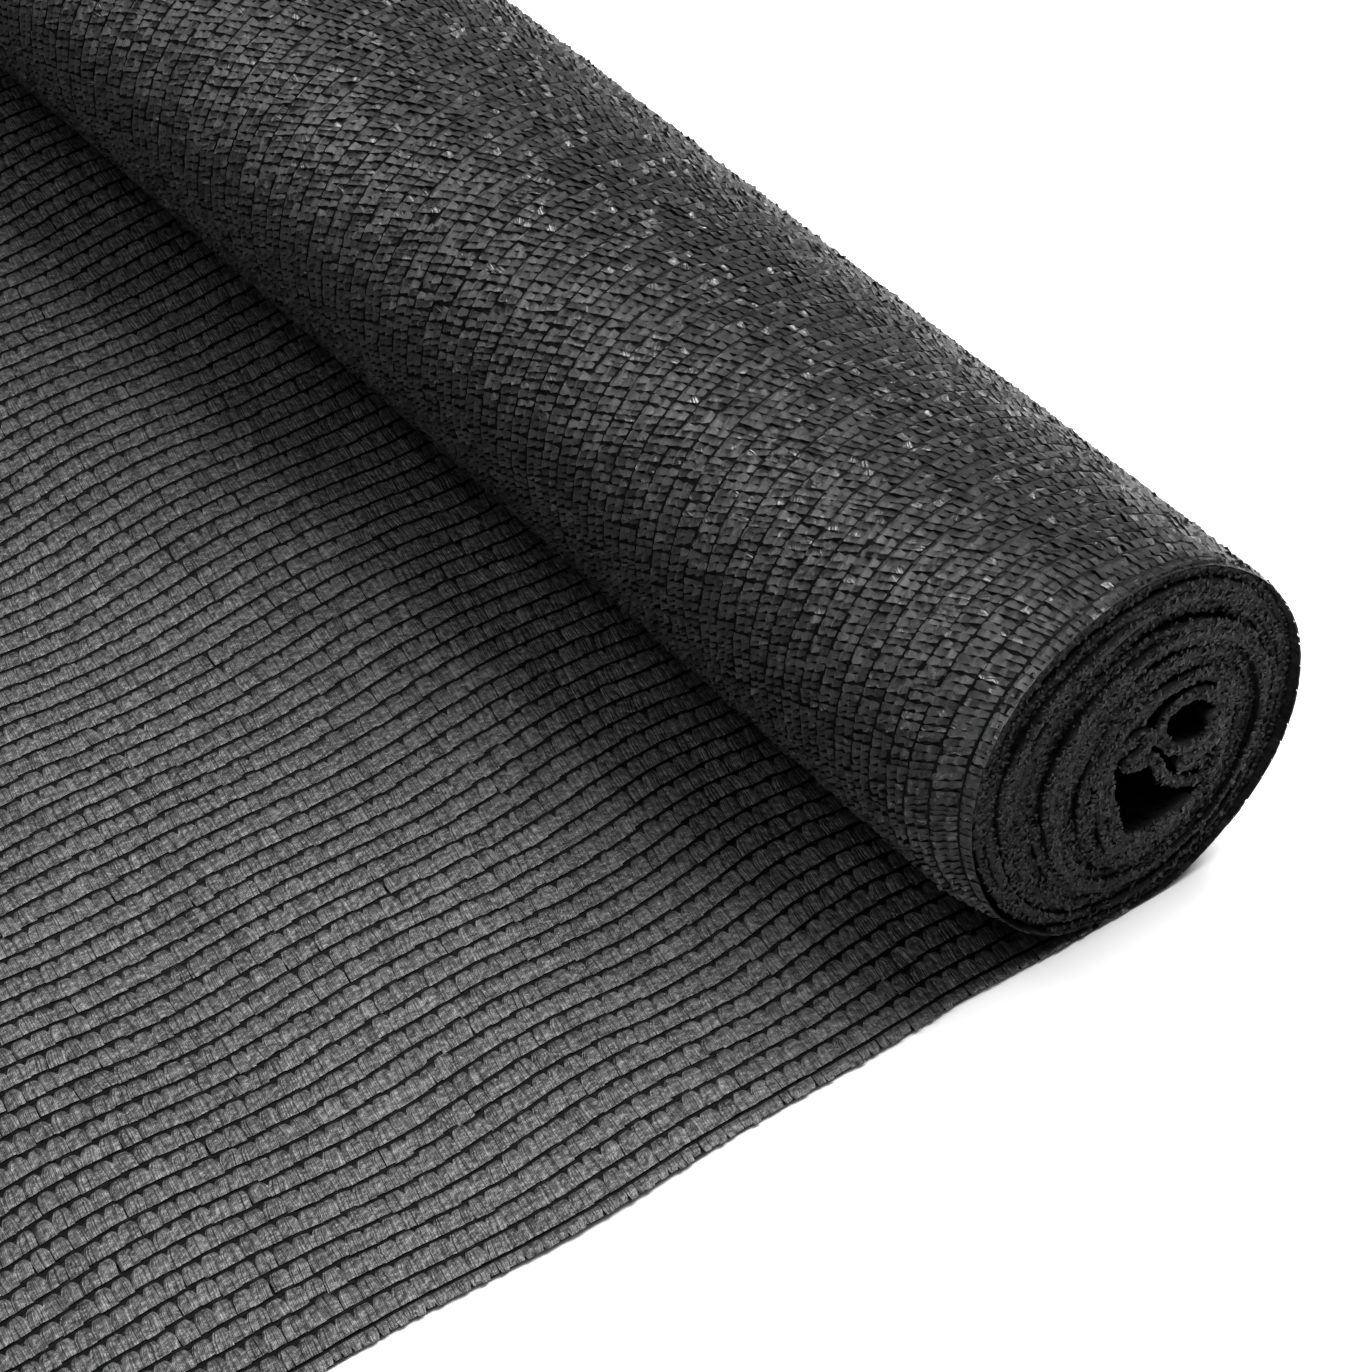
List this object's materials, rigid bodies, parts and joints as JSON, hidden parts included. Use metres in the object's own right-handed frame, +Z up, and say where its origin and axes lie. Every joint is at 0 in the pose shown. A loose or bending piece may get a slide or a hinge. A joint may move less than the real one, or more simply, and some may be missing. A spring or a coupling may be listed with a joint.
{
  "type": "shade cloth",
  "caption": "Black knitted shade cloth, wound into a roll that lies on its own unrolled end; an openwork net for shading plants, patios and fences.",
  "frame": {"origin": "on the floor, in the middle of the footprint of the roll and its loose end", "axes": "+Z up; +Y along the roll's axis, away from the end that the picture shows; +X across the roll, from the loose end's cut edge towards the roll"},
  "size_m": [0.3332, 0.7524, 0.0655],
  "materials": {
    "knitted_yarn": "charcoal black knitted plastic yarn with a soft satin sheen"
  },
  "bodies": {
    "root": {"shade_cloth": "knitted_yarn"}
  },
  "joints": []
}
